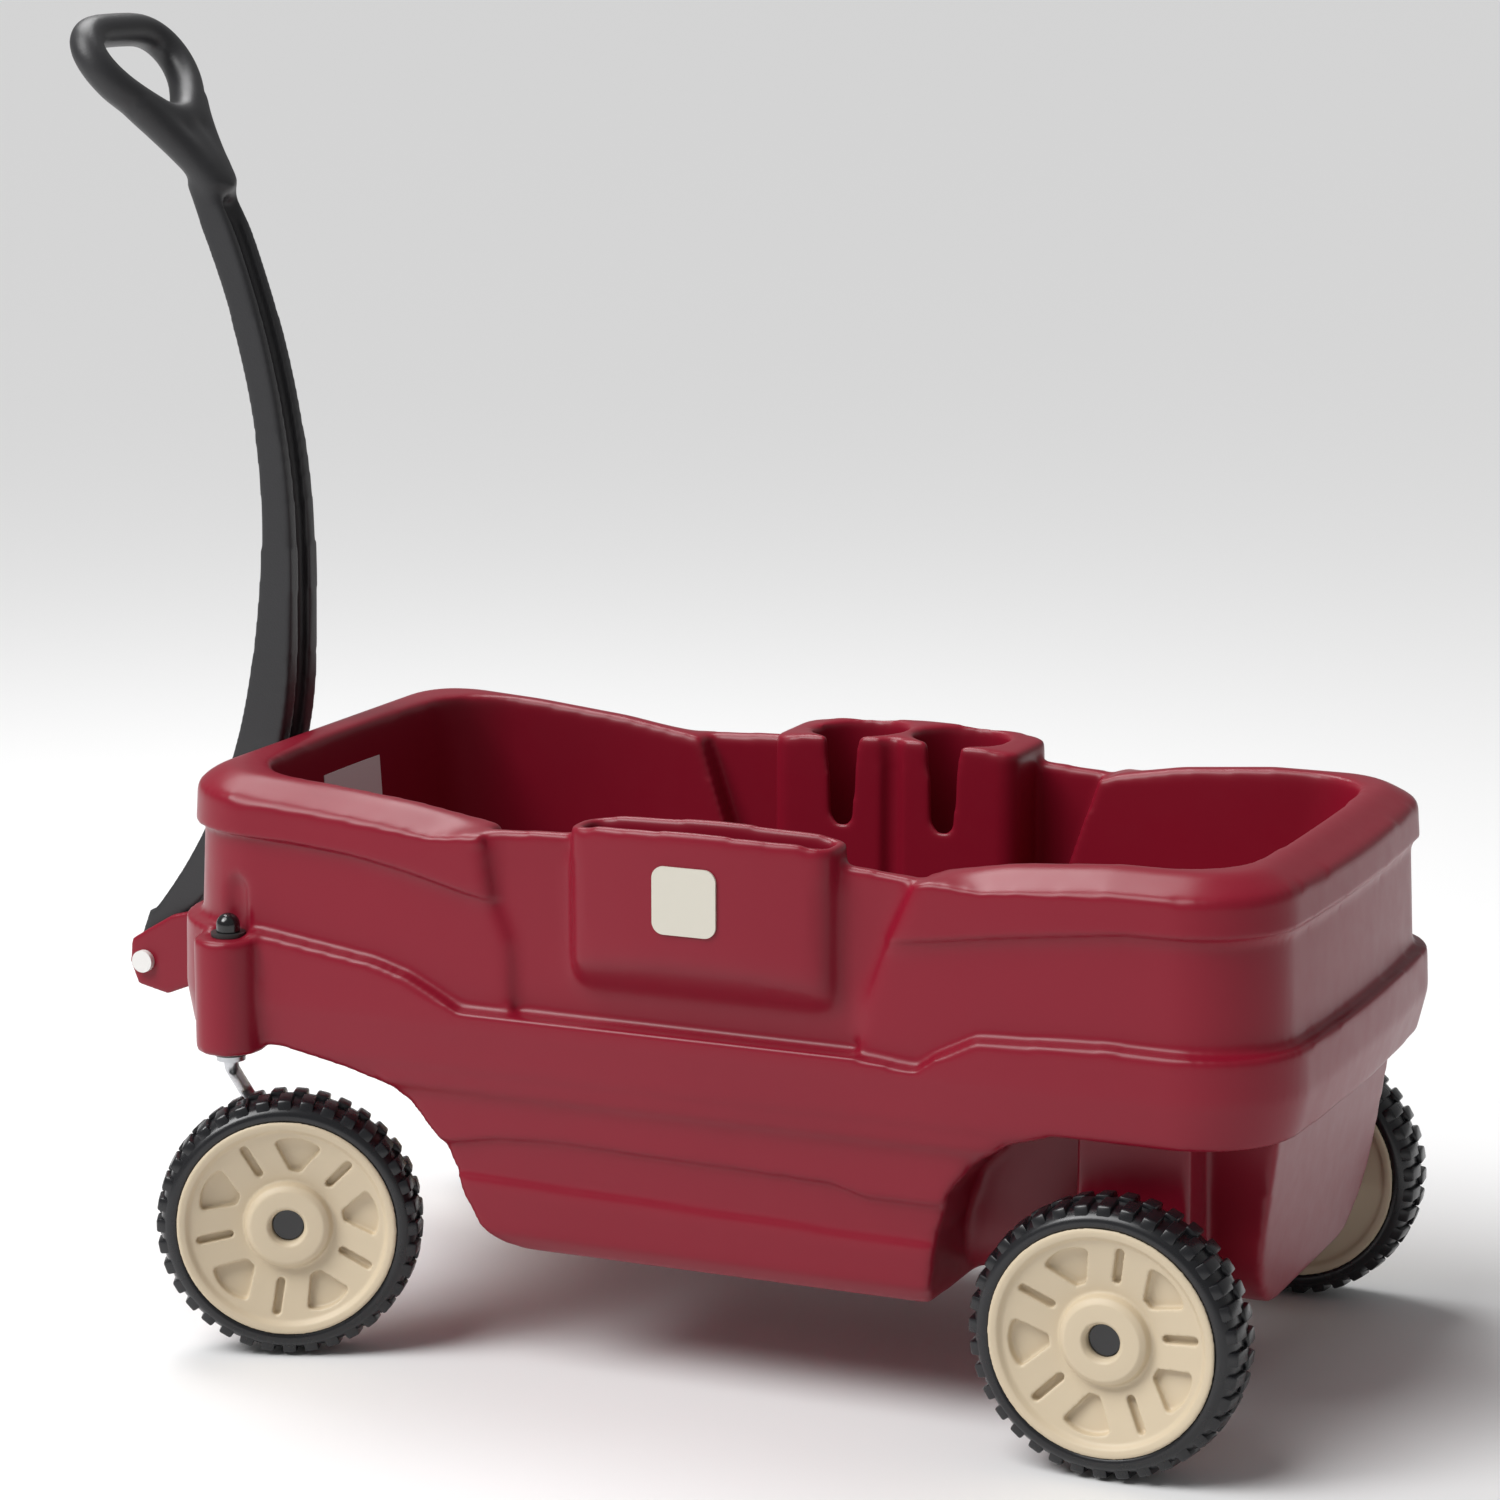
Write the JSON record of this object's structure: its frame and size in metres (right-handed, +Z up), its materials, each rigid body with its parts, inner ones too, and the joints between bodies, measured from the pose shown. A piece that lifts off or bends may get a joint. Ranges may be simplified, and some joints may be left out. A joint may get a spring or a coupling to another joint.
{
  "type": "kids pull wagon",
  "caption": "Moulded double-wall pull wagon for two children: seats, foot well, cup holders, side pocket, caster front wheels, fixed rear axle and a hinged handle.",
  "frame": {"origin": "on the ground, under the centre of the box round the whole wagon, handle up", "axes": "+Z up, +X from the handle end to the rear axle end, +Y towards the cup holders"},
  "size_m": [1.0609, 0.5448, 1.0003],
  "materials": {
    "body_plastic": "satin moulded crimson plastic",
    "handle_plastic": "fine-textured charcoal plastic",
    "steel": "zinc-plated steel",
    "white_plastic": "white plastic",
    "nylon": "dark nylon",
    "black_plastic": "gloss black plastic",
    "tyre": "semi-gloss black moulded tyre",
    "wheel_plastic": "beige moulded plastic",
    "badge": "plain cream plate with no marks",
    "label": "blank white sticker"
  },
  "bodies": {
    "wagon": {"body": "body_plastic", "tongue_bracket": "body_plastic", "tongue_screws": "steel", "handle_pin": "steel", "handle_pin_caps": "white_plastic", "badge": "badge", "label": "label", "rear_axle": "steel", "rear_axle_spacers": "steel", "upper_stem_bush_left": "nylon", "lower_stem_bush_left": "nylon", "rear_axle_cap_left": "black_plastic", "rear_washer_left": "steel", "upper_stem_bush_right": "nylon", "lower_stem_bush_right": "nylon", "rear_axle_cap_right": "black_plastic", "rear_washer_right": "steel"},
    "pull_handle": {"handle": "handle_plastic"},
    "caster_left": {"caster_rod_left": "steel", "stem_collar_left": "steel", "stem_cap_left": "black_plastic", "front_axle_cap_left": "black_plastic", "front_washer_left": "steel"},
    "front_wheel_left": {"front_tyre_left": "tyre", "front_outer_disc_left": "wheel_plastic", "front_inner_disc_left": "wheel_plastic", "front_bush_left": "nylon"},
    "rear_wheel_left": {"rear_tyre_left": "tyre", "rear_outer_disc_left": "wheel_plastic", "rear_inner_disc_left": "wheel_plastic", "rear_bush_left": "nylon"},
    "caster_right": {"caster_rod_right": "steel", "stem_collar_right": "steel", "stem_cap_right": "black_plastic", "front_axle_cap_right": "black_plastic", "front_washer_right": "steel"},
    "front_wheel_right": {"front_tyre_right": "tyre", "front_outer_disc_right": "wheel_plastic", "front_inner_disc_right": "wheel_plastic", "front_bush_right": "nylon"},
    "rear_wheel_right": {"rear_tyre_right": "tyre", "rear_outer_disc_right": "wheel_plastic", "rear_inner_disc_right": "wheel_plastic", "rear_bush_right": "nylon"}
  },
  "joints": [
    {"name": "handle_hinge", "type": "hinge", "parent": "wagon", "child": "pull_handle", "pos_m": [-0.48555, 0, 0.24], "axis": [0, -1, 0], "range_deg": [0, 102]},
    {"name": "caster_swivel_left", "type": "hinge", "parent": "wagon", "child": "caster_left", "pos_m": [-0.29655, -0.226, 0.232], "axis": [0, 0, 1], "continuous": true},
    {"name": "front_wheel_spin_left", "type": "hinge", "parent": "caster_left", "child": "front_wheel_left", "pos_m": [-0.25228, -0.2184, 0.1015], "axis": [-0.3633, 0.9317, 0], "continuous": true},
    {"name": "rear_wheel_spin_left", "type": "hinge", "parent": "wagon", "child": "rear_wheel_left", "pos_m": [0.40745, -0.227, 0.1015], "axis": [0, 1, 0], "continuous": true},
    {"name": "caster_swivel_right", "type": "hinge", "parent": "wagon", "child": "caster_right", "pos_m": [-0.29655, 0.226, 0.232], "axis": [0, 0, 1], "continuous": true},
    {"name": "front_wheel_spin_right", "type": "hinge", "parent": "caster_right", "child": "front_wheel_right", "pos_m": [-0.25228, 0.2184, 0.1015], "axis": [0.3633, 0.9317, 0], "continuous": true},
    {"name": "rear_wheel_spin_right", "type": "hinge", "parent": "wagon", "child": "rear_wheel_right", "pos_m": [0.40745, 0.227, 0.1015], "axis": [0, 1, 0], "continuous": true}
  ]
}
